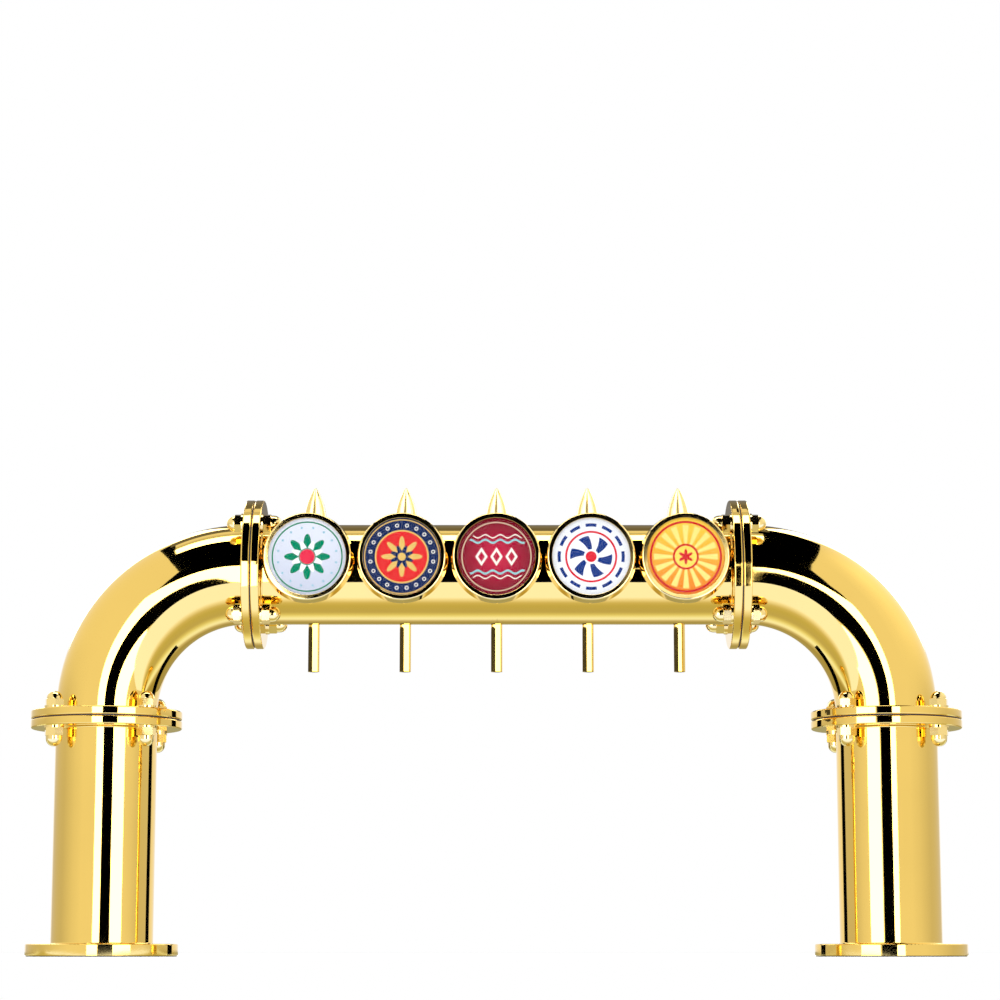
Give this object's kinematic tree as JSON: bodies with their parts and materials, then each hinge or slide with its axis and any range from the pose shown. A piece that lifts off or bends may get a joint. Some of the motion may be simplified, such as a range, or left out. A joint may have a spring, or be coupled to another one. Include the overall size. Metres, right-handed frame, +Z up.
{
  "type": "bridge beer tower",
  "caption": "Bridge beer tower of polished brass tube: flanged columns, elbows and a beam that carries round badges in front and lever taps behind.",
  "frame": {"origin": "on the counter, midway between the two columns", "axes": "+X along the beam to the customer's right, -Y towards the customer, +Y towards the taps, +Z up"},
  "size_m": [0.942, 0.209, 0.492],
  "materials": {
    "polished_brass": "mirror polished, lacquered",
    "bezel_brass": "mirror polished",
    "fastener_brass": "polished",
    "tap_brass": "polished",
    "handle_brass": "polished",
    "turned_brass": "turned",
    "steel": "bright",
    "copper": "drawn copper",
    "rubber": "matt",
    "nylon": "moulded",
    "line_plastic": "food-grade hose",
    "clear_lens": "clear, flat",
    "badge_print_1": "printed disc",
    "badge_print_2": "printed disc",
    "badge_print_3": "printed disc",
    "badge_print_4": "printed disc",
    "badge_print_5": "printed disc"
  },
  "bodies": {
    "tower": {"left_base_flange": "polished_brass", "right_base_flange": "polished_brass", "base_seals": "rubber", "left_column": "polished_brass", "right_column": "polished_brass", "left_column_flange": "polished_brass", "right_column_flange": "polished_brass", "left_elbow_lower_flange": "polished_brass", "right_elbow_lower_flange": "polished_brass", "left_elbow": "polished_brass", "right_elbow": "polished_brass", "left_elbow_upper_flange": "polished_brass", "right_elbow_upper_flange": "polished_brass", "left_beam_flange": "polished_brass", "right_beam_flange": "polished_brass", "beam": "polished_brass", "flange_gaskets": "rubber", "flange_bolts": "fastener_brass", "flange_nuts": "fastener_brass", "flange_washers": "fastener_brass", "badge_cups": "polished_brass", "badge_bezels": "bezel_brass", "badge_lenses": "clear_lens", "badge_studs": "steel", "badge_nuts": "steel", "tube_saddles": "turned_brass", "tap_shanks": "turned_brass", "shank_locknuts": "turned_brass", "coupling_nuts": "tap_brass", "tap_spouts": "tap_brass", "tap_bonnets": "tap_brass", "ball_washers": "nylon", "beer_lines": "line_plastic", "cooling_pipe": "copper", "line_clips": "nylon", "badge_print_1": "badge_print_1", "badge_print_2": "badge_print_2", "badge_print_3": "badge_print_3", "badge_print_4": "badge_print_4", "badge_print_5": "badge_print_5", "tap_body_1": "tap_brass", "tap_body_2": "tap_brass", "tap_body_3": "tap_brass", "tap_body_4": "tap_brass", "tap_body_5": "tap_brass"},
    "lever_1": {"tap_lever_1": "steel", "tap_handle_1": "handle_brass"},
    "valve_1": {"tap_valve_1": "steel"},
    "lever_2": {"tap_lever_2": "steel", "tap_handle_2": "handle_brass"},
    "valve_2": {"tap_valve_2": "steel"},
    "lever_3": {"tap_lever_3": "steel", "tap_handle_3": "handle_brass"},
    "valve_3": {"tap_valve_3": "steel"},
    "lever_4": {"tap_lever_4": "steel", "tap_handle_4": "handle_brass"},
    "valve_4": {"tap_valve_4": "steel"},
    "lever_5": {"tap_lever_5": "steel", "tap_handle_5": "handle_brass"},
    "valve_5": {"tap_valve_5": "steel"}
  },
  "joints": [
    {"name": "lever_1_swing", "type": "hinge", "parent": "tower", "child": "lever_1", "pos_m": [-0.193, 0.105, 0.4], "axis": [-1, 0, 0], "range_deg": [0, 30]},
    {"name": "valve_1_slide", "type": "slide", "parent": "tower", "child": "valve_1", "axis": [0, -1, 0], "range_m": [0, 0.008]},
    {"name": "lever_2_swing", "type": "hinge", "parent": "tower", "child": "lever_2", "pos_m": [-0.0965, 0.105, 0.4], "axis": [-1, 0, 0], "range_deg": [0, 30]},
    {"name": "valve_2_slide", "type": "slide", "parent": "tower", "child": "valve_2", "axis": [0, -1, 0], "range_m": [0, 0.008]},
    {"name": "lever_3_swing", "type": "hinge", "parent": "tower", "child": "lever_3", "pos_m": [0, 0.105, 0.4], "axis": [-1, 0, 0], "range_deg": [0, 30]},
    {"name": "valve_3_slide", "type": "slide", "parent": "tower", "child": "valve_3", "axis": [0, -1, 0], "range_m": [0, 0.008]},
    {"name": "lever_4_swing", "type": "hinge", "parent": "tower", "child": "lever_4", "pos_m": [0.0965, 0.105, 0.4], "axis": [-1, 0, 0], "range_deg": [0, 30]},
    {"name": "valve_4_slide", "type": "slide", "parent": "tower", "child": "valve_4", "axis": [0, -1, 0], "range_m": [0, 0.008]},
    {"name": "lever_5_swing", "type": "hinge", "parent": "tower", "child": "lever_5", "pos_m": [0.193, 0.105, 0.4], "axis": [-1, 0, 0], "range_deg": [0, 30]},
    {"name": "valve_5_slide", "type": "slide", "parent": "tower", "child": "valve_5", "axis": [0, -1, 0], "range_m": [0, 0.008]}
  ],
  "couplings": [
    {"joint": "valve_1_slide", "follows": "lever_1_swing", "m_per_rad": 0.0145},
    {"joint": "valve_2_slide", "follows": "lever_2_swing", "m_per_rad": 0.0145},
    {"joint": "valve_3_slide", "follows": "lever_3_swing", "m_per_rad": 0.0145},
    {"joint": "valve_4_slide", "follows": "lever_4_swing", "m_per_rad": 0.0145},
    {"joint": "valve_5_slide", "follows": "lever_5_swing", "m_per_rad": 0.0145}
  ]
}
